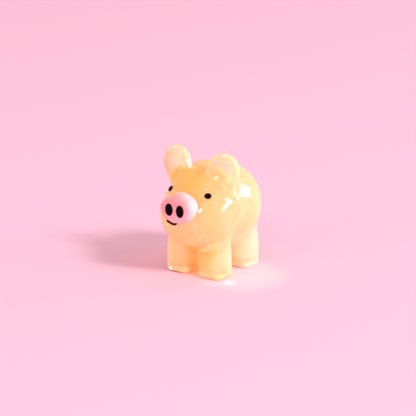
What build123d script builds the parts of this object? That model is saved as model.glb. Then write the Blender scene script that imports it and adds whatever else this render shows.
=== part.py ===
"""Miniature flame-worked glass pig: honey-coloured gathers fused together, with a pink snout
and black dots.

Millimetres, +Z up. The pig stands on z = 0 and faces -Y, its left side towards +X, with the
origin on the table under the middle of the figure.
"""

from build123d import *
from math import cos, radians, sin, sqrt
import os

# ---- legs -------------------------------------------------------------------------------
LEG_WIDTH = 5.7  # across the sole, before its edge is rounded
LEG_DEPTH = 5.3  # front to back at the sole
LEG_NARROWING = 0.5  # how much narrower both are at the haunch
LEG_CORNER = 1.6  # corner radius of a leg's section
LEG_TOP = 11.5  # height of the haunch, inside the body
LEG_HAUNCH = 1.4  # rounding over the top of a leg
LEG_SPAN = 7.5  # between the left and right leg centres
LEG_WHEELBASE = 9.1  # between the front and rear leg centres
LEG_Y = 0.7  # midway between them
FOOT_ROUND = 0.8  # fire-polished edge of a sole

# ---- body gather --------------------------------------------------------------------------
BODY_Y = 0.9
BODY_Z = 12.75
BODY_HALF_WIDTH = 7.95
BODY_HALF_HEIGHT = 8.3
BODY_LEAN = 14.0  # degrees that the back slopes down to the rump
BARREL_LENGTH = 5.0  # the straight middle of the body, half ahead of BODY_Y
RUMP_LENGTH = 7.7  # the rounded end behind the barrel
CHEST_LENGTH = 5.0  # the rounded end ahead of it, inside the head

# ---- head gather ----------------------------------------------------------------------------
HEAD_Y = -4.0
HEAD_Z = 11.5
CHEEK_STEP = 0.35  # how much narrower each side of the head is than the body behind it
HEAD_HALF_WIDTH = BODY_HALF_WIDTH - CHEEK_STEP
HEAD_HALF_DEPTH = 6.9
HEAD_CROWN = 9.6  # from the head's centre to its crown, along its leaning axis
HEAD_JAW = 6.25  # from the head's centre to the jaw, along the same axis
HEAD_LEAN = 25.0  # degrees that the crown leans back

# ---- snout ------------------------------------------------------------------------------------
SNOUT_Z = 14.45
SNOUT_FRONT_Y = -12.35
SNOUT_DEPTH = 5.0  # from the front to the root inside the head
SNOUT_HALF_WIDTH = 3.4
SNOUT_HALF_HEIGHT = 2.55
SNOUT_RIM = 1.0  # rounding of the front rim
NOSTRIL_SPACING = 2.5
NOSTRIL_SHIFT = 0.35  # the hand-laid pair sits towards the pig's left
NOSTRIL_LIFT = 0.15  # and a little above the middle
NOSTRIL_HALF_WIDTH = 0.85
NOSTRIL_HALF_HEIGHT = 1.2

# ---- eyes and mouth -----------------------------------------------------------------------------
EYE_SPACING = 8.65
EYE_Z = 16.85
EYE_HALF_WIDTH = 0.69
EYE_HALF_HEIGHT = 0.57
DOT_RISE = 0.25  # how far eyes and nostrils stand out
DOT_SINK = 0.3  # how far their outline reaches in before it is cut
BEAD_ROUND = 0.8  # share of the rise that is rounded
MOUTH_X = -1.25  # the hand-laid smile sits towards the pig's right
MOUTH_Z = 11.25
MOUTH_WIDTH = 2.3
MOUTH_SAG = 0.5
MOUTH_RADIUS = 0.22

# ---- ears -----------------------------------------------------------------------------------------
EAR_SPACING = 10.8  # between the centres of the two cups
EAR_Y = -3.4
EAR_LIFT = 0.15  # centre of the cup above the highest line of the body
EAR_Z = BODY_Z + BODY_HALF_HEIGHT + EAR_LIFT
EAR_RADIUS = 3.3
EAR_ROOT_RADIUS = 3.1
EAR_ROOT_DROP = 2.6  # from the centre of the cup to the centre of its root
EAR_THICKNESS = 2.3
EAR_LIP = 0.85  # width of the rolled lip round the cup
EAR_CUP_DEPTH = 1.1
EAR_EDGE = 0.42  # share of the thickness that the outer edge is rounded by
EAR_LEAN = 24.0  # degrees that the tip leans outwards
EAR_TURN = 9.0  # degrees that the cup faces outwards

# ---- tail -------------------------------------------------------------------------------------------
TAIL_RISE = 3.0  # above the body's axis, along the back of the rump
TAIL_RADIUS = 0.42
TAIL_CURL_RADIUS = 0.95
TAIL_PITCH = 1.35
TAIL_TURNS = 1.6
TAIL_ROOT = 0.7  # how deep the curl starts inside the rump

SIDES = (("left", 1), ("right", -1))
ENDS = (("front", -1), ("rear", 1))


def save(piece, name):
    """Label a finished piece and write its STEP file."""
    piece.label = name
    export_step(piece, f"parts/{name}.step")


os.makedirs("parts", exist_ok=True)

# ---- body: a barrel of revolution that slopes down to the rump, pressed narrower across X --------
slope = radians(BODY_LEAN)
body_plane = Plane(origin=(0, BODY_Y, BODY_Z), x_dir=(1, 0, 0), z_dir=(0, sin(slope), cos(slope)))

with BuildPart() as body:
    with BuildSketch(body_plane):
        with BuildLine():
            rump = EllipticalCenterArc((0, BARREL_LENGTH / 2), BODY_HALF_HEIGHT, RUMP_LENGTH, 0)
            chest = EllipticalCenterArc((0, -BARREL_LENGTH / 2), BODY_HALF_HEIGHT, CHEST_LENGTH, 270)
            Line(chest @ 1, rump @ 0)
            Line(chest @ 0, rump @ 1)
        make_face()
    revolve(axis=Axis(body_plane.origin, body_plane.y_dir))
    scale(by=(BODY_HALF_WIDTH / BODY_HALF_HEIGHT, 1, 1), about=(0, 0, 0))
save(body.part, "body")
rump_reach = RUMP_LENGTH * sqrt(1 - (TAIL_RISE / BODY_HALF_HEIGHT) ** 2)
tail_root = body_plane.from_local_coords((0, BARREL_LENGTH / 2 + rump_reach, TAIL_RISE))

# ---- head: an egg that leans back, its blunt end forming the jowls --------------------------------
lean = radians(HEAD_LEAN)
head_plane = Plane(origin=(0, HEAD_Y, HEAD_Z), x_dir=(1, 0, 0), z_dir=(0, -cos(lean), sin(lean)))

with BuildPart() as head:
    with BuildSketch(head_plane):
        with BuildLine():
            crown = EllipticalCenterArc((0, 0), HEAD_HALF_DEPTH, HEAD_CROWN, 0)
            jaw = EllipticalCenterArc((0, 0), HEAD_HALF_DEPTH, HEAD_JAW, 270)
            Line(jaw @ 0, crown @ 1)
        make_face()
    revolve(axis=Axis(head_plane.origin, head_plane.y_dir))
    scale(by=(HEAD_HALF_WIDTH / HEAD_HALF_DEPTH, 1, 1), about=(0, 0, 0))
    add(body.part, mode=Mode.SUBTRACT)
save(head.part, "head")


def face_point(x, z):
    """The point on the front of the head at this x and z."""
    rise = z - HEAD_Z
    room = 1 - (x / HEAD_HALF_WIDTH) ** 2
    half = HEAD_CROWN if rise > 0 else HEAD_JAW
    a = (cos(lean) / HEAD_HALF_DEPTH) ** 2 + (sin(lean) / half) ** 2
    b = rise * sin(lean) * cos(lean) * (1 / half**2 - 1 / HEAD_HALF_DEPTH**2)
    c = rise**2 * ((sin(lean) / HEAD_HALF_DEPTH) ** 2 + (cos(lean) / half) ** 2) - room
    return Vector(x, HEAD_Y - (b + sqrt(b * b - a * c)) / a, z)


def face_normal(point):
    """The outward normal of the head at a point on it."""
    y, z = point.Y - HEAD_Y, point.Z - HEAD_Z
    along = y * sin(lean) + z * cos(lean)
    across = y * cos(lean) - z * sin(lean)
    half = HEAD_CROWN if along > 0 else HEAD_JAW
    along, across = along / half**2, across / HEAD_HALF_DEPTH**2
    return Vector(
        point.X / HEAD_HALF_WIDTH**2,
        along * sin(lean) + across * cos(lean),
        along * cos(lean) - across * sin(lean),
    ).normalized()


# ---- legs: rounded-square columns with a haunch, cut to seat against body and head ----------------
for end, end_sign in ENDS:
    for side, side_sign in SIDES:
        centre = (side_sign * LEG_SPAN / 2, LEG_Y + end_sign * LEG_WHEELBASE / 2)
        with BuildPart() as leg:
            for height, narrowing in ((0, 0), (LEG_TOP, LEG_NARROWING)):
                with BuildSketch(Plane.XY.offset(height)):
                    with Locations(centre):
                        RectangleRounded(LEG_WIDTH - narrowing, LEG_DEPTH - narrowing, LEG_CORNER)
            loft()
            fillet(leg.faces().sort_by(Axis.Z)[0].edges(), radius=FOOT_ROUND)
            fillet(leg.faces().sort_by(Axis.Z)[-1].edges(), radius=LEG_HAUNCH)
            add(body.part, mode=Mode.SUBTRACT)
            if end == "front":
                add(head.part, mode=Mode.SUBTRACT)
        save(leg.part, f"{end}_leg_{side}")

# ---- snout: an oval barrel with a rolled rim, seated on the face ------------------------------------
snout_plane = Plane(origin=(0, SNOUT_FRONT_Y, SNOUT_Z), x_dir=(1, 0, 0), z_dir=(0, -1, 0))

with BuildPart() as snout:
    with BuildSketch(snout_plane.offset(-SNOUT_DEPTH)):
        Ellipse(SNOUT_HALF_WIDTH, SNOUT_HALF_HEIGHT)
    extrude(amount=SNOUT_DEPTH)
    fillet(snout.faces().sort_by(Axis.Y)[0].edges(), radius=SNOUT_RIM)
    add(head.part, mode=Mode.SUBTRACT)
    add(body.part, mode=Mode.SUBTRACT)
save(snout.part, "snout")


def bead(seat, half_width, half_height, rise, sink, under):
    """An oval dot with a rounded face on a seat plane, cut to lie on the piece under it."""
    with BuildPart() as dot:
        with BuildSketch(seat.offset(-sink)):
            Ellipse(half_width, half_height)
        extrude(amount=sink + rise)
        fillet(dot.faces().sort_by(Axis(seat.origin, seat.z_dir))[-1].edges(), radius=rise * BEAD_ROUND)
        add(under, mode=Mode.SUBTRACT)
    return dot.part


# ---- nostrils and eyes ----------------------------------------------------------------------------
for side, side_sign in SIDES:
    nostril_x = NOSTRIL_SHIFT + side_sign * NOSTRIL_SPACING / 2
    nostril_centre = (nostril_x, SNOUT_FRONT_Y, SNOUT_Z + NOSTRIL_LIFT)
    nostril_seat = Plane(origin=nostril_centre, x_dir=(1, 0, 0), z_dir=(0, -1, 0))
    nostril = bead(
        nostril_seat, NOSTRIL_HALF_WIDTH, NOSTRIL_HALF_HEIGHT, DOT_RISE, DOT_SINK, snout.part
    )
    save(nostril, f"nostril_{side}")

    eye_centre = face_point(side_sign * EYE_SPACING / 2, EYE_Z)
    normal = face_normal(eye_centre)
    eye_seat = Plane(origin=eye_centre, x_dir=Vector(0, 0, 1).cross(normal), z_dir=normal)
    eye = bead(eye_seat, EYE_HALF_WIDTH, EYE_HALF_HEIGHT, DOT_RISE, DOT_SINK, head.part)
    save(eye, f"eye_{side}")

# ---- mouth: a thread laid in a smile under the snout ---------------------------------------------------
with BuildPart() as mouth:
    with BuildLine() as smile:
        Spline(
            face_point(MOUTH_X - MOUTH_WIDTH / 2, MOUTH_Z + MOUTH_SAG),
            face_point(MOUTH_X, MOUTH_Z),
            face_point(MOUTH_X + MOUTH_WIDTH / 2, MOUTH_Z + MOUTH_SAG),
        )
    with BuildSketch(Plane(origin=smile.line @ 0, z_dir=smile.line % 0)):
        Circle(MOUTH_RADIUS)
    sweep()
    with Locations(smile.line @ 0, smile.line @ 1):
        Sphere(MOUTH_RADIUS)
    add(head.part, mode=Mode.SUBTRACT)
    add(snout.part, mode=Mode.SUBTRACT)
save(mouth.part, "mouth")

# ---- ears: cupped petals with a thick rolled lip, rooted in the crown -----------------------------------
cup_opening = EAR_RADIUS - EAR_LIP
cup_radius = (cup_opening**2 + EAR_CUP_DEPTH**2) / (2 * EAR_CUP_DEPTH)

for side, side_sign in SIDES:
    turn, tip = radians(EAR_TURN), radians(EAR_LEAN)
    facing = Vector(side_sign * sin(turn), -cos(turn), 0)
    outward = Vector(side_sign * cos(turn), sin(turn), 0)
    upward = Vector(0, 0, 1) * cos(tip) + outward * sin(tip)
    ear_plane = Plane(
        origin=(side_sign * EAR_SPACING / 2, EAR_Y, EAR_Z), x_dir=upward.cross(facing), z_dir=facing
    )
    with BuildPart() as ear:
        with BuildSketch(ear_plane):
            Circle(EAR_RADIUS)
            with Locations((0, -EAR_ROOT_DROP)):
                Circle(EAR_ROOT_RADIUS)
            make_hull()
        extrude(amount=EAR_THICKNESS / 2, both=True)
        fillet(ear.edges(), radius=EAR_THICKNESS * EAR_EDGE)
        with Locations(ear_plane.offset(EAR_THICKNESS / 2 - EAR_CUP_DEPTH + cup_radius)):
            Sphere(cup_radius, mode=Mode.SUBTRACT)
        add(head.part, mode=Mode.SUBTRACT)
        add(body.part, mode=Mode.SUBTRACT)
    save(ear.part, f"ear_{side}")

# ---- tail: a little corkscrew pulled out of the rump -----------------------------------------------------
with BuildPart() as tail:
    with BuildLine() as curl:
        Helix(
            pitch=TAIL_PITCH,
            height=TAIL_PITCH * TAIL_TURNS,
            radius=TAIL_CURL_RADIUS,
            center=tail_root - (0, TAIL_ROOT, 0),
            direction=(0, 1, 0),
        )
    with BuildSketch(Plane(origin=curl.line @ 0, z_dir=curl.line % 0)):
        Circle(TAIL_RADIUS)
    sweep(is_frenet=True)
    with Locations(curl.line @ 1):
        Sphere(TAIL_RADIUS)
    add(body.part, mode=Mode.SUBTRACT)
save(tail.part, "tail")
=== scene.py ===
"""Looks of the fused glass pig: one milky honey-glass skin melted over the body, head, legs, ears
and tail, with a pink snout, black dots and a dark red thread of a mouth. Metres, +Z up, facing -Y."""

import math

import bmesh
import bpy
import numpy as np
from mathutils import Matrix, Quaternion, Vector, noise
from mathutils.bvhtree import BVHTree


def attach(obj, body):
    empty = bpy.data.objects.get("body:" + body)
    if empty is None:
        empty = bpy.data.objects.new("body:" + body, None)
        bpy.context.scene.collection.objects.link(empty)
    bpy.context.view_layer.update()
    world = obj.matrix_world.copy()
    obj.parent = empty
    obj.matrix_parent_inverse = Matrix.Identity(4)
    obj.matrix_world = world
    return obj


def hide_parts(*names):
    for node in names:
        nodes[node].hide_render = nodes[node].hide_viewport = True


MM = 0.001

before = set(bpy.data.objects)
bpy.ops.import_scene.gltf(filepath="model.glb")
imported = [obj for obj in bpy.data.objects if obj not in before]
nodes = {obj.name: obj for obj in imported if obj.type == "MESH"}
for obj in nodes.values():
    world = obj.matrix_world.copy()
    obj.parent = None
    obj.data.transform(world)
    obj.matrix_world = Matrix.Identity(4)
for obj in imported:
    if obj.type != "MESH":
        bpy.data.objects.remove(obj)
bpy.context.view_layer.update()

# ---- camera -------------------------------------------------------------------------------------
VIEW_AZIMUTH, VIEW_ELEVATION = 35.3, 16.8  # degrees, turned from straight ahead to the pig's left
VIEW_DISTANCE = 0.42
VIEW_TARGET = Vector((0, 0, 11 * MM))
AIM_LEFT = 0.56 * MM  # how far left of the target the middle of the picture lies
AIM_UP = 0.98 * MM  # and how far above it
SENSOR = 36.0
LENS = 189.0

# ---- shape of the skin --------------------------------------------------------------------------
SKIN_NODES = [
    "body", "head", "tail", "ear_left", "ear_right",
    "front_leg_left", "front_leg_right", "rear_leg_left", "rear_leg_right",
]
VOXEL = 0.2 * MM
MELT_REACH = 1.8 * MM  # how far from a seam the gathers flow into each other
MELT_STEPS = 80
SEAM_SOFTENING = 10  # steps that soften where the reach of a seam ends
POLISH, POLISH_STEPS = 0.6, 2  # light smoothing all over
WAVE_HEIGHT = 0.045 * MM  # uneven surface of hand-worked glass
WAVE_LENGTH = 4.5 * MM
WAVE_SMOOTHNESS, WAVE_RATIO, WAVE_LAYERS = 1.0, 2.0, 2  # each layer is half as long as the last
RIPPLE_HEIGHT = 0.010 * MM
RIPPLE_LENGTH = 1.3 * MM
CROWN_HEIGHT = 0.12 * MM  # how much the barrel swells halfway along
CROWN_MIDDLE = 2.0 * MM
CROWN_REACH = 4.5 * MM
DOT_NODES = ["eye_left", "eye_right", "mouth", "snout"]
STILL_REACH = 1.6 * MM  # the surface calms down over this distance to what sits on it
FOOT_CLEAR = 3.0 * MM  # waves and the painted highlights on the lips fade out over this height above the soles

# ---- shape of the snout -------------------------------------------------------------------------
SNOUT_VOXEL = 0.12 * MM
COLLAR_REACH = 0.9 * MM  # the snout flares into the face over this length
COLLAR_WIDTH = 0.3 * MM
BLUSH_REACH = 2.5 * MM  # and its pink grows pale over this one, partly as pink glass running out into the face and partly as a painted highlight
FAR_SIDE_FADE = 0.15  # share of that fading on the pig's right, away from the lamps, where the pink stays stronger; the full paling on its left is painted highlight
NOT_ZERO = 1e-9  # added to a length that is divided by

# ---- what the skin's material reads from its shape ----------------------------------------------
MILKY_THICKNESS = 4.5 * MM  # glass thinner than this lets what is behind it through
INSIDE = 0.05 * MM  # how far under the surface the thickness is measured from
THIN_SOFTENING = 12
SOLE_TOP, FOOT_START = 0.8 * MM, 1.8 * MM  # not seen through below the first, freely above the second
RIM_STEPS = 12  # smoothing that shows up the lips of the ears and other narrow ridges
RIM_FROM, RIM_TO = 0.03 * MM, 0.15 * MM  # how far a lip stands out before it shows, and shows fully
DRIFT_FROM, DRIFT_TO = -4.0 * MM, 8.0 * MM  # painted shade on the pig's right, away from the key lamp, turns to painted light towards its left between these
# painted shade and light: how pale the shaded side, the lit side and the legs lightened out of their
# shade are
SHADED_SIDE, LIT_SIDE, LIT_LEGS = -0.04, 0.26, 0.28
LEG_TOP = 8.5 * MM
LEG_BLEND = 3.0 * MM
SHADE_AND_LIGHT_POOLS = {  # darker glass as painted shade, or paler as painted light where negative: place and reach in millimetres, and strength
    "forehead": ((-0.5, -6.5, 18.5), 4.5, 0.35),
    "left_temple": ((5.0, -6.0, 16.5), 3.5, 0.08),
    "front_feet": ((1.5, -6.0, 4.5), 4.0, 0.5),
    "left_heel": ((7.0, 6.0, 2.0), 3.0, -0.8),
    "left_hock": ((4.0, 3.5, 3.0), 5.0, -0.9),
}
PAINTED_GLINTS = {  # painted glints, small bright specks of painted highlight: place and reach in millimetres, and strength
    "chest_high": ((4.6, -7.7, 8.1), 0.30, 0.68),
    "chest_low": ((4.4, -6.7, 7.0), 0.32, 0.70),
    "brow": ((3.6, -6.6, 17.9), 0.32, 0.66),
    "neck": ((5.8, -4.4, 18.7), 0.35, 0.62),
    "back": ((6.5, 5.3, 16.6), 0.40, 0.62),
    "right_toe": ((-5.0, -6.4, 0.6), 0.45, 1.0),
    "right_foot": ((-5.5, -6.4, 1.4), 0.30, 0.8),
    "left_toe": ((3.3, -6.5, 1.8), 0.45, 0.58),
    "left_heel": ((6.5, 3.7, 1.2), 0.45, 0.7),
    "right_ear_high": ((-2.5, -4.3, 22.1), 0.40, 0.9),
    "right_ear_middle": ((-2.2, -4.2, 21.6), 0.35, 1.0),
    "right_ear_low": ((-1.9, -4.1, 21.0), 0.40, 0.9),
    "right_ear_tip": ((-5.6, -4.1, 24.3), 0.40, 0.7),
    "left_ear_tip": ((5.8, -4.0, 24.2), 0.45, 0.7),
    "left_ear_side": ((7.9, -3.2, 23.3), 0.40, 0.75),
}

# ---- glass --------------------------------------------------------------------------------------
GLASS_IOR = 1.5
SWIRL = {"Scale": 140.0, "Detail": 5.0, "Roughness": 0.62, "Distortion": 1.2}
HONEY_STOPS = ((0.2, (1.0, 0.60, 0.14)), (0.55, (1.0, 0.72, 0.33)), (0.9, (1.0, 0.86, 0.57)))
HONEY_SCATTER, HONEY_DEPTH = (1.0, 0.75, 0.5), 7.0 * MM
HONEY_ROUGHNESS = 0.04
PALE_HONEY = (1.0, 0.93, 0.62)  # thin glass
LIP_HONEY = (1.0, 0.64, 0.38)
LIP_RANGE = (0.0, 0.5)
SOLE_HONEY = (1.0, 0.63, 0.28)
SOLE_RANGE = (0.4, 0.9)  # painted lightness over which a sole keeps more and more of its own colour
# painted highlight: the near white colour laid on the lips and glints over this range of their
# strength
HIGHLIGHT_COLOUR = (1.0, 0.97, 0.80)
HIGHLIGHT_RANGE = (0.4, 0.65)
PAINTED_GLOW_STRENGTH = 0.45  # painted glow, emitted at the lips and the painted glints
SEE_THROUGH = (0.6, 0.92)  # in thick glass and in thin
EDGE_BLEND = 0.2
PINK_STOPS = (
    (0.0, (1.0, 0.30, 0.32)), (0.2, (1.0, 0.42, 0.46)),
    (0.5, (1.0, 0.57, 0.63)), (1.0, (1.0, 0.68, 0.72)),
)
PINK_SCATTER, PINK_DEPTH = (1.0, 0.8, 0.8), 1.0 * MM
PINK_ROUGHNESS = 0.05
BLACK = (0.004, 0.003, 0.003)
DARK_RED = (0.035, 0.004, 0.003)
DOT_ROUGHNESS, DOT_SHINE = 0.3, 0.02

# ---- stage --------------------------------------------------------------------------------------
FLOOR_SIZE = 6.0
PAPER = (0.89, 0.505, 0.64)
PAPER_ROUGHNESS, PAPER_SHINE = 0.9, 0.1
BACKDROP = (0.93, 0.54, 0.68)
ROOM_LIGHT = (1.0, 0.95, 0.96)
ROOM_STRENGTH = 0.66
LAMP_DISTANCE = 1.5
LAMP_WHITE = (1.0, 0.98, 0.95)
LAMPS = {  # azimuth, elevation, size, power, roll, and whether the glass mirrors it
    "key": (83.0, 37.0, (0.30, 0.30), 16.0, 0.0, False),
    "fill": (-10.0, 5.0, (0.90, 0.50), 10.5, 0.0, False),
    "front": (27.0, 30.5, (0.16, 0.13), 2.0, 0.0, True),
    "strip": (140.0, 9.0, (0.12, 0.15), 0.9, 0.0, True),
    "side_window": (113.0, 13.8, (0.42, 0.20), 4.8, 0.0, True),
    "rear_window": (152.5, 8.5, (0.16, 0.49), 3.7, -49.0, True),
}
GLOW_HEIGHT = 0.10
FLOOR_GLOWS = {  # place on the floor and radius in millimetres, power and colour
    "glow_wide": ((8.0, -1.0), 11.0, 0.14, (1.0, 0.75, 0.35)),
    "glow_foot": ((8.3, -5.7), 1.6, 0.20, (1.0, 0.85, 0.60)),
    "glow_between": ((0.0, -4.0), 4.0, 0.16, (1.0, 0.50, 0.0)),
}


# ---- mesh helpers -------------------------------------------------------------------------------
def link(obj):
    bpy.context.scene.collection.objects.link(obj)
    return obj


def copy_of(names, new_name):
    """One mesh object that holds copies of the named CAD nodes."""
    bm = bmesh.new()
    for name in names:
        bm.from_mesh(nodes[name].data)
    mesh = bpy.data.meshes.new(new_name)
    bm.to_mesh(mesh)
    bm.free()
    return link(bpy.data.objects.new(new_name, mesh))


def apply_modifiers(piece):
    depsgraph = bpy.context.evaluated_depsgraph_get()
    mesh = bpy.data.meshes.new_from_object(piece.evaluated_get(depsgraph))
    piece.modifiers.clear()
    piece.data = mesh


def keep_largest_shell(mesh):
    bm = bmesh.new()
    bm.from_mesh(mesh)
    bm.verts.ensure_lookup_table()
    unseen = set(range(len(bm.verts)))
    shells = []
    while unseen:
        start = unseen.pop()
        shell, queue = [start], [bm.verts[start]]
        while queue:
            vert = queue.pop()
            for edge in vert.link_edges:
                other = edge.other_vert(vert)
                if other.index in unseen:
                    unseen.discard(other.index)
                    shell.append(other.index)
                    queue.append(other)
        shells.append(shell)
    shells.sort(key=len)
    extra = [bm.verts[i] for shell in shells[:-1] for i in shell]
    bmesh.ops.delete(bm, geom=extra, context="VERTS")
    bm.to_mesh(mesh)
    bm.free()


def edges_of(piece):
    return np.array([edge.vertices[:] for edge in piece.data.edges])


def vectors_of(piece, kind):
    rows = np.empty(len(piece.data.vertices) * 3)
    piece.data.vertices.foreach_get(kind, rows)
    return rows.reshape(-1, 3)


def points_of(piece):
    return vectors_of(piece, "co")


def normals_of(piece):
    return vectors_of(piece, "normal")


def move_to(piece, points):
    piece.data.vertices.foreach_set("co", points.ravel())
    piece.data.update()


def store(piece, name, values):
    """Keep one number per vertex for the material to read."""
    piece.data.attributes.new(name, "FLOAT", "POINT").data.foreach_set("value", values)


def rising(values, low, high):
    """From 0 at the low value to 1 at the high one."""
    return np.clip((values - low) / (high - low), 0.0, 1.0)


def nearness(points, centre, reach):
    """1 at the centre, falling off softly over the reach, both in millimetres."""
    away = np.linalg.norm(points - np.multiply(centre, MM), axis=1) / (reach * MM)
    return np.exp(-(away**2))


def relax(points, edges, weight, steps):
    """Laplacian smoothing of the rows of points, as strongly as their weight says."""
    count = np.bincount(edges.ravel(), minlength=len(points))[:, None]
    for _ in range(steps):
        total = np.zeros_like(points)
        for axis in range(points.shape[1]):
            total[:, axis] = np.bincount(edges[:, 0], points[edges[:, 1], axis], len(points))
            total[:, axis] += np.bincount(edges[:, 1], points[edges[:, 0], axis], len(points))
        points = points + weight[:, None] * (total / count - points) / 2
    return points


def relax_evenly(values, edges, steps):
    """The same smoothing for one number per vertex, at full strength everywhere."""
    return relax(values[:, None], edges, np.ones(len(values)), steps)[:, 0]


def surface_of(mesh):
    bm = bmesh.new()
    bm.from_mesh(mesh)
    surface = BVHTree.FromBMesh(bm)
    bm.free()
    return surface


def distance_to(names, points):
    surfaces = [surface_of(nodes[name].data) for name in names]
    return np.array([min(surface.find_nearest(p)[3] for surface in surfaces) for p in points])


def thickness_of(piece):
    """How much glass lies straight under each vertex."""
    surface = surface_of(piece.data)
    depths = np.empty(len(piece.data.vertices))
    for i, vert in enumerate(piece.data.vertices):
        hit = surface.ray_cast(vert.co - vert.normal * INSIDE, -vert.normal)
        depths[i] = hit[3] if hit[0] else 0.0
    return depths


def melted(names, new_name, voxel, reach, steps):
    """The named CAD nodes as one closed surface whose seams have flowed together."""
    piece = copy_of(names, new_name)
    remesh = piece.modifiers.new("remesh", "REMESH")
    remesh.mode = "VOXEL"
    remesh.voxel_size = voxel
    apply_modifiers(piece)
    keep_largest_shell(piece.data)
    surfaces = [surface_of(nodes[name].data) for name in names]
    count = len(piece.data.vertices)
    points = np.empty((count, 3))
    seam = np.full(count, 2 * reach)
    for i, vert in enumerate(piece.data.vertices):
        hits = sorted((surface.find_nearest(vert.co) for surface in surfaces), key=lambda hit: hit[3])
        points[i] = hits[0][0]
        if len(hits) > 1:
            seam[i] = hits[1][3]
    edges = edges_of(piece)
    weight = relax_evenly(1.0 - rising(seam, 0.0, reach), edges, SEAM_SOFTENING)
    points = relax(points, edges, weight, steps)
    points = relax(points, edges, np.full(count, POLISH), POLISH_STEPS)
    move_to(piece, points)
    return piece, points


# ---- honey-glass skin ---------------------------------------------------------------------------
def swell_of(points):
    """How far the surface stands out from its plain shape: waves, ripples and the barrel's crown."""
    positions = [Vector(p) for p in points]
    layers = (WAVE_SMOOTHNESS, WAVE_RATIO, WAVE_LAYERS)
    wave = np.array([noise.fractal(p / WAVE_LENGTH, *layers) for p in positions])
    ripple = np.array([noise.noise(p / RIPPLE_LENGTH) for p in positions])
    along = rising(np.abs(points[:, 1] - CROWN_MIDDLE), 0.0, CROWN_REACH)
    crown = (1.0 - along**2) ** 2
    calm = rising(distance_to(DOT_NODES, points), 0.0, STILL_REACH)
    calm = calm * rising(points[:, 2], 0.0, FOOT_CLEAR)
    return (wave * WAVE_HEIGHT + ripple * RIPPLE_HEIGHT + crown * CROWN_HEIGHT) * calm


def painted_lightness_of(points):
    """Painted shade on the pig's right, away from the key lamp, and in pools; painted light towards
    its lit left, in pools and in the legs.
    """
    lightness = SHADED_SIDE + (LIT_SIDE - SHADED_SIDE) * rising(points[:, 0], DRIFT_FROM, DRIFT_TO)
    leg = 1.0 - rising(points[:, 2], LEG_TOP - LEG_BLEND, LEG_TOP)
    lightness = lightness + (LIT_LEGS - lightness) * leg
    for centre, reach, strength in SHADE_AND_LIGHT_POOLS.values():
        lightness = lightness - strength * nearness(points, centre, reach)
    return lightness


def lips_and_glints_of(piece, edges):
    """Where the surface stands out as a lip, and where a painted glint puts a bright speck."""
    points = points_of(piece)
    sunk = points - relax(points, edges, np.ones(len(points)), RIM_STEPS)
    lips_and_glints = rising((sunk * normals_of(piece)).sum(1), RIM_FROM, RIM_TO)
    lips_and_glints = lips_and_glints * rising(points[:, 2], 0.0, FOOT_CLEAR)
    for centre, reach, strength in PAINTED_GLINTS.values():
        lips_and_glints = np.maximum(lips_and_glints, strength * nearness(points, centre, reach))
    return lips_and_glints


def make_skin():
    skin, points = melted(SKIN_NODES, "glass_skin", VOXEL, MELT_REACH, MELT_STEPS)
    move_to(skin, points + normals_of(skin) * swell_of(points)[:, None])
    edges = edges_of(skin)
    thin = 1.0 - rising(thickness_of(skin), 0.0, MILKY_THICKNESS)
    store(skin, "painted_lightness", painted_lightness_of(points))
    store(skin, "sole", 1.0 - rising(points[:, 2], SOLE_TOP, FOOT_START))
    store(skin, "thin", relax_evenly(thin, edges, THIN_SOFTENING))
    store(skin, "lips_and_glints", lips_and_glints_of(skin, edges))
    return skin


# ---- snout --------------------------------------------------------------------------------------
def make_snout():
    """The snout, with a collar that flares into the face and a pink that grows pale towards it, partly
    as a painted highlight strongest on the pig's left.
    """
    snout, points = melted(["snout"], "snout_gather", SNOUT_VOXEL, MELT_REACH, 0)
    gap = distance_to(["head"], points)
    middle = (points.min(0) + points.max(0)) / 2
    outward = (points - middle) * (1.0, 0.0, 1.0)
    outward /= np.linalg.norm(outward, axis=1)[:, None] + NOT_ZERO
    flare = (1.0 - rising(gap, 0.0, COLLAR_REACH)) ** 2 * COLLAR_WIDTH
    move_to(snout, points + outward * flare[:, None])
    half_width = (points[:, 0].max() - points[:, 0].min()) / 2
    side = (points[:, 0] - middle[0]) / half_width
    fade = 1.0 - rising(gap, 0.0, BLUSH_REACH)
    # painted highlight: the pink pales most on the pig's left, the side that faces the lamps
    store(snout, "fade", fade * (1.0 + side + (1.0 - side) * FAR_SIDE_FADE) / 2)
    return snout


# ---- shader helpers -----------------------------------------------------------------------------
def material(name):
    mat = bpy.data.materials.new(name)
    mat.use_nodes = True
    return mat, mat.node_tree, mat.node_tree.nodes["Principled BSDF"]


def set_inputs(node, values):
    for name, value in values.items():
        node.inputs[name].default_value = value


def add(tree, kind, **settings):
    """A new node, with the settings that its kind has beside its inputs."""
    node = tree.nodes.new(kind)
    for key, value in settings.items():
        setattr(node, key, value)
    return node


def attribute(tree, name):
    return add(tree, "ShaderNodeAttribute", attribute_name=name).outputs["Fac"]


def combined(tree, operation, first, second):
    node = add(tree, "ShaderNodeMath", operation=operation)
    tree.links.new(first, node.inputs[0])
    tree.links.new(second, node.inputs[1])
    return node.outputs[0]


def ramp(tree, value, stops):
    """A colour that runs through the stops, each one a position and a colour."""
    node = add(tree, "ShaderNodeValToRGB")
    elements = node.color_ramp.elements
    while len(elements) < len(stops):
        elements.new(0.5)
    for element, (position, colour) in zip(elements, stops):
        element.position = position
        element.color = (*colour, 1)
    tree.links.new(value, node.inputs["Fac"])
    return node.outputs["Color"]


def spread(tree, value, low, high, to_low=0.0, to_high=1.0):
    """The value's range from low to high, laid out over another one."""
    node = add(tree, "ShaderNodeMapRange")
    set_inputs(node, {"From Min": low, "From Max": high, "To Min": to_low, "To Max": to_high})
    tree.links.new(value, node.inputs["Value"])
    return node.outputs["Result"]


def inverted(tree, value):
    return spread(tree, value, 0.0, 1.0, 1.0, 0.0)


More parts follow.
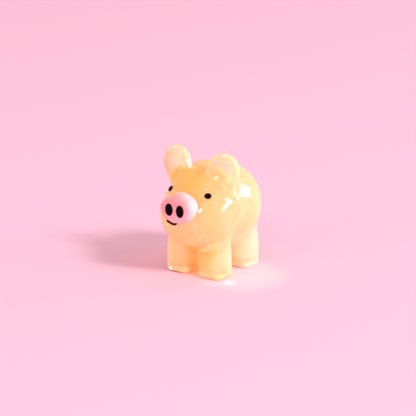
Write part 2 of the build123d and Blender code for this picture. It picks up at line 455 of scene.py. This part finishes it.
def mixed(tree, factor, first, colour):
    """The first colour turning into the second one as the factor rises."""
    node = add(tree, "ShaderNodeMix", data_type="RGBA")
    tree.links.new(factor, node.inputs[0])
    tree.links.new(first, node.inputs[6])
    node.inputs[7].default_value = (*colour, 1)
    return node.outputs[2]


def blended(tree, factor, first, second):
    """The first shader giving way to the second one as the factor rises."""
    node = add(tree, "ShaderNodeMixShader")
    for socket, output in zip(node.inputs, (factor, first, second)):
        tree.links.new(output, socket)
    return node.outputs[0]


def make_milky(shader, scatter, depth, roughness):
    """Glass that scatters light inside and has a polished surface."""
    set_inputs(shader, {
        "Subsurface Weight": 1.0,
        "Subsurface Radius": scatter,
        "Subsurface Scale": depth,
        "Roughness": roughness,
        "IOR": GLASS_IOR,
    })


# ---- honey glass --------------------------------------------------------------------------------
def swirled(tree, painted_lightness):
    """Amber and milk swirled together, with more milk where painted light makes the glass pale."""
    where = add(tree, "ShaderNodeTexCoord")
    swirl = add(tree, "ShaderNodeTexNoise")
    set_inputs(swirl, SWIRL)
    tree.links.new(where.outputs["Object"], swirl.inputs["Vector"])
    return ramp(tree, combined(tree, "ADD", swirl.outputs["Fac"], painted_lightness), HONEY_STOPS)


def honey_colour(tree, painted_lightness, thin, lips_and_glints, sole):
    """The swirled glass, paler where thin, and warmer at the lips and the soles."""
    clear = mixed(tree, thin, swirled(tree, painted_lightness), PALE_HONEY)
    lipped = mixed(tree, spread(tree, lips_and_glints, *LIP_RANGE), clear, LIP_HONEY)
    amber = spread(tree, painted_lightness, *SOLE_RANGE, 1.0, 0.0)
    return mixed(tree, combined(tree, "MULTIPLY", sole, amber), lipped, SOLE_HONEY)


def add_painted_highlights(tree, shader, colour, lips_and_glints):
    """The glass's colour, with painted highlights and a painted glow laid on its lips and glints."""
    highlight = spread(tree, lips_and_glints, *HIGHLIGHT_RANGE)
    strength = spread(tree, highlight, 0.0, 1.0, 0.0, PAINTED_GLOW_STRENGTH)
    shader.inputs["Emission Color"].default_value = (*HIGHLIGHT_COLOUR, 1)
    tree.links.new(strength, shader.inputs["Emission Strength"])
    tree.links.new(mixed(tree, highlight, colour, HIGHLIGHT_COLOUR), shader.inputs["Base Color"])


def clearness(tree, thin, sole):
    """Most where the glass is thin, none at the soles, and less where it is seen edge on."""
    edge = add(tree, "ShaderNodeLayerWeight")
    edge.inputs["Blend"].default_value = EDGE_BLEND
    milky = combined(tree, "MAXIMUM", sole, edge.outputs["Facing"])
    see = spread(tree, thin, 0.0, 1.0, *SEE_THROUGH)
    return combined(tree, "MULTIPLY", see, inverted(tree, milky))


def far_wall(tree, colour, thin):
    """The wall as seen from inside: it glows where thick and lets the room in where thin."""
    glow = add(tree, "ShaderNodeBsdfTranslucent")
    tree.links.new(colour, glow.inputs["Color"])
    window = add(tree, "ShaderNodeBsdfTransparent")
    return blended(tree, thin, glow.outputs[0], window.outputs[0])


def honey_glass():
    mat, tree, shader = material("honey_glass")
    painted_lightness, thin, lips_and_glints, sole = (attribute(tree, name) for name in ("painted_lightness", "thin", "lips_and_glints", "sole"))
    colour = honey_colour(tree, painted_lightness, thin, lips_and_glints, sole)
    make_milky(shader, HONEY_SCATTER, HONEY_DEPTH, HONEY_ROUGHNESS)
    add_painted_highlights(tree, shader, colour, lips_and_glints)
    tree.links.new(clearness(tree, thin, sole), shader.inputs["Transmission Weight"])
    inside = add(tree, "ShaderNodeNewGeometry").outputs["Backfacing"]
    surface = blended(tree, inside, shader.outputs[0], far_wall(tree, colour, thin))
    tree.links.new(surface, tree.nodes["Material Output"].inputs["Surface"])
    return mat


# ---- other materials ----------------------------------------------------------------------------
def pink_glass():
    mat, tree, shader = material("pink_glass")
    make_milky(shader, PINK_SCATTER, PINK_DEPTH, PINK_ROUGHNESS)
    tree.links.new(ramp(tree, attribute(tree, "fade"), PINK_STOPS), shader.inputs["Base Color"])
    return mat


def plain(name, colour, roughness, shine):
    mat, _, shader = material(name)
    set_inputs(shader, {
        "Base Color": (*colour, 1),
        "Roughness": roughness,
        "Specular IOR Level": shine,
    })
    return mat


# ---- pieces -------------------------------------------------------------------------------------
def present(piece, mat, slot, *replaced):
    piece.data.materials.clear()
    piece.data.materials.append(mat)
    piece.data.shade_smooth()
    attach(piece, "root")
    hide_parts(*replaced)


def dress(name, mat):
    mesh = nodes[name].data
    mesh.materials.clear()
    mesh.materials.append(mat)


present(make_skin(), honey_glass(), "honey_glass", *SKIN_NODES)
present(make_snout(), pink_glass(), "pink_glass", "snout")
black = plain("black_glass", BLACK, DOT_ROUGHNESS, DOT_SHINE)
for name in ("eye_left", "eye_right", "nostril_left", "nostril_right"):
    dress(name, black)
dress("mouth", plain("dark_red_glass", DARK_RED, DOT_ROUGHNESS, DOT_SHINE))

# ---- floor and room -----------------------------------------------------------------------------
bpy.ops.mesh.primitive_plane_add(size=FLOOR_SIZE)
floor = bpy.context.object
floor.name = "floor"
floor.data.materials.append(plain("pink_paper", PAPER, PAPER_ROUGHNESS, PAPER_SHINE))


def background(tree, colour, strength):
    node = add(tree, "ShaderNodeBackground")
    set_inputs(node, {"Color": (*colour, 1), "Strength": strength})
    return node.outputs[0]


def make_room():
    """Pink where the room is seen straight, mirrored or through glass, and a paler light from it."""
    room = bpy.data.worlds.new("world")
    bpy.context.scene.world = room
    room.use_nodes = True
    tree = room.node_tree
    tree.nodes.clear()
    light = background(tree, ROOM_LIGHT, ROOM_STRENGTH)
    backdrop = background(tree, BACKDROP, 1.0)
    path = add(tree, "ShaderNodeLightPath").outputs
    seen = combined(tree, "MAXIMUM", path["Is Camera Ray"], path["Is Glossy Ray"])
    seen = combined(tree, "MAXIMUM", seen, path["Is Transmission Ray"])
    out = add(tree, "ShaderNodeOutputWorld")
    tree.links.new(blended(tree, seen, light, backdrop), out.inputs["Surface"])


# ---- light --------------------------------------------------------------------------------------
def direction_of(azimuth, elevation):
    a, e = math.radians(azimuth), math.radians(elevation)
    return Vector((math.sin(a) * math.cos(e), -math.cos(a) * math.cos(e), math.sin(e)))


def area_light(name, azimuth, elevation, size, power, roll, mirrored):
    direction = direction_of(azimuth, elevation)
    lamp = bpy.data.lights.new(name, "AREA")
    lamp.shape = "RECTANGLE"
    lamp.size, lamp.size_y = size
    lamp.energy = power
    lamp.color = LAMP_WHITE
    obj = link(bpy.data.objects.new(name, lamp))
    obj.location = VIEW_TARGET + direction * LAMP_DISTANCE
    turn = Quaternion((0, 0, 1), math.radians(roll))
    obj.rotation_euler = (direction.to_track_quat("Z", "Y") @ turn).to_euler()
    obj.visible_glossy = mirrored


def floor_glow(name, centre, radius, power, colour, lit):
    """Light that the glass gathers and throws on the floor beside the feet."""
    lamp = bpy.data.lights.new(name, "SPOT")
    lamp.spot_size = 2 * math.atan(radius * MM / GLOW_HEIGHT)
    lamp.spot_blend = 1.0
    lamp.energy = power
    lamp.color = colour
    lamp.use_shadow = False
    lamp.shadow_soft_size = 0.0
    obj = link(bpy.data.objects.new(name, lamp))
    obj.location = (centre[0] * MM, centre[1] * MM, GLOW_HEIGHT)
    obj.light_linking.receiver_collection = lit


make_room()
floor_only = bpy.data.collections.new("floor_only")
floor_only.objects.link(floor)
for name, glow in FLOOR_GLOWS.items():
    floor_glow(name, *glow, floor_only)
for name, lamp in LAMPS.items():
    area_light(name, *lamp)


# ---- camera -------------------------------------------------------------------------------------
def make_camera():
    toward = direction_of(VIEW_AZIMUTH, VIEW_ELEVATION)
    right = direction_of(VIEW_AZIMUTH + 90, 0)
    up = toward.cross(right)
    lens = bpy.data.cameras.new("camera")
    lens.lens = LENS
    lens.sensor_width = SENSOR
    camera = link(bpy.data.objects.new("camera", lens))
    camera.location = VIEW_TARGET - right * AIM_LEFT + up * AIM_UP + toward * VIEW_DISTANCE
    camera.rotation_euler = toward.to_track_quat("Z", "Y").to_euler()
    return camera


bpy.context.scene.camera = make_camera()
bpy.context.scene.view_settings.view_transform = "Standard"
